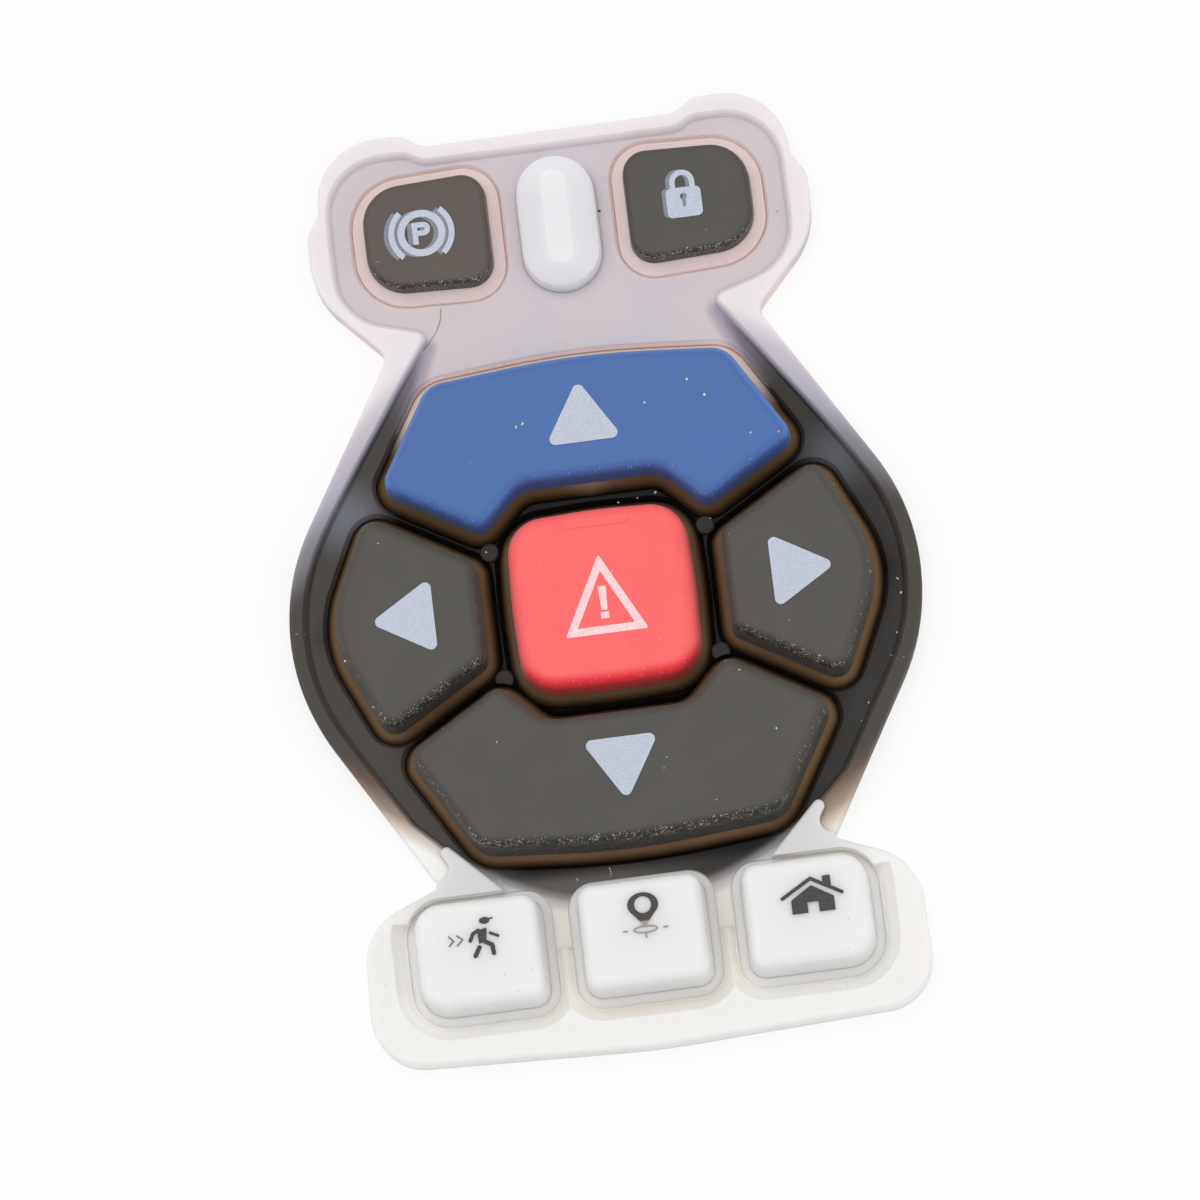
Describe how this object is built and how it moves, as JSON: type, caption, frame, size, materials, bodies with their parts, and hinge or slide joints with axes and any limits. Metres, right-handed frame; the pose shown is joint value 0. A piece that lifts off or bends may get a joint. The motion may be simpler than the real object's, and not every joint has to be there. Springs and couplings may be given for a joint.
{
  "type": "remote control keypad",
  "caption": "Soft silicone key mat for a handheld remote: an arrow cross round a hazard key, keys beside a light window above it and white keys below, each on a springy web.",
  "frame": {"origin": "middle of the mat's underside, on the plane that rests on the circuit board", "axes": "+Z out of the key tops, +Y along the mat towards the parking and lock keys, +X to the right as seen from the key side"},
  "size_m": [0.0482, 0.073, 0.0059],
  "materials": {
    "milky_silicone": "milky, slightly translucent, matt",
    "clear_silicone": "milky, translucent, smooth",
    "black_silicone": "matt",
    "brown_silicone": "thin and slightly translucent, matt",
    "charcoal_silicone": "matt, silky",
    "blue_silicone": "matt, silky",
    "red_silicone": "matt, silky",
    "white_silicone": "satin",
    "carbon": "matt",
    "silver_ink": "satin, finely speckled",
    "pink_ink": "satin",
    "dark_ink": "matt"
  },
  "bodies": {
    "mat": {"upper_mat": "milky_silicone", "center_mat": "black_silicone", "lower_mat": "milky_silicone", "light_window": "clear_silicone", "web_parking": "milky_silicone", "web_lock": "milky_silicone", "web_up": "brown_silicone", "web_left": "brown_silicone", "web_right": "brown_silicone", "web_down": "brown_silicone", "web_hazard": "brown_silicone", "web_follow": "milky_silicone", "web_location": "milky_silicone", "web_home": "milky_silicone"},
    "parking_key": {"key_parking": "charcoal_silicone", "pill_parking": "carbon", "legend_parking": "silver_ink"},
    "lock_key": {"key_lock": "charcoal_silicone", "pill_lock": "carbon", "legend_lock": "silver_ink"},
    "up_key": {"key_up": "blue_silicone", "pill_up": "carbon", "legend_up": "silver_ink"},
    "left_key": {"key_left": "charcoal_silicone", "pill_left": "carbon", "legend_left": "silver_ink"},
    "right_key": {"key_right": "charcoal_silicone", "pill_right": "carbon", "legend_right": "silver_ink"},
    "down_key": {"key_down": "charcoal_silicone", "pill_down": "carbon", "legend_down": "silver_ink"},
    "hazard_key": {"key_hazard": "red_silicone", "pill_hazard": "carbon", "legend_hazard": "pink_ink"},
    "follow_key": {"key_follow": "white_silicone", "pill_follow": "carbon", "legend_follow": "dark_ink"},
    "location_key": {"key_location": "white_silicone", "pill_location": "carbon", "legend_location": "dark_ink"},
    "home_key": {"key_home": "white_silicone", "pill_home": "carbon", "legend_home": "dark_ink"}
  },
  "joints": [
    {"name": "press_parking", "type": "slide", "parent": "mat", "child": "parking_key", "axis": [0, 0, -1], "range_m": [0, 0.001], "stiffness_N_per_m": 1200, "deforming": ["web_parking"]},
    {"name": "press_lock", "type": "slide", "parent": "mat", "child": "lock_key", "axis": [0, 0, -1], "range_m": [0, 0.001], "stiffness_N_per_m": 1200, "deforming": ["web_lock"]},
    {"name": "press_up", "type": "slide", "parent": "mat", "child": "up_key", "axis": [0, 0, -1], "range_m": [0, 0.001], "stiffness_N_per_m": 1500, "deforming": ["web_up"]},
    {"name": "press_left", "type": "slide", "parent": "mat", "child": "left_key", "axis": [0, 0, -1], "range_m": [0, 0.001], "stiffness_N_per_m": 1500, "deforming": ["web_left"]},
    {"name": "press_right", "type": "slide", "parent": "mat", "child": "right_key", "axis": [0, 0, -1], "range_m": [0, 0.001], "stiffness_N_per_m": 1500, "deforming": ["web_right"]},
    {"name": "press_down", "type": "slide", "parent": "mat", "child": "down_key", "axis": [0, 0, -1], "range_m": [0, 0.001], "stiffness_N_per_m": 1500, "deforming": ["web_down"]},
    {"name": "press_hazard", "type": "slide", "parent": "mat", "child": "hazard_key", "axis": [0, 0, -1], "range_m": [0, 0.001], "stiffness_N_per_m": 1500, "deforming": ["web_hazard"]},
    {"name": "press_follow", "type": "slide", "parent": "mat", "child": "follow_key", "axis": [0, 0, -1], "range_m": [0, 0.001], "stiffness_N_per_m": 1200, "deforming": ["web_follow"]},
    {"name": "press_location", "type": "slide", "parent": "mat", "child": "location_key", "axis": [0, 0, -1], "range_m": [0, 0.001], "stiffness_N_per_m": 1200, "deforming": ["web_location"]},
    {"name": "press_home", "type": "slide", "parent": "mat", "child": "home_key", "axis": [0, 0, -1], "range_m": [0, 0.001], "stiffness_N_per_m": 1200, "deforming": ["web_home"]}
  ]
}
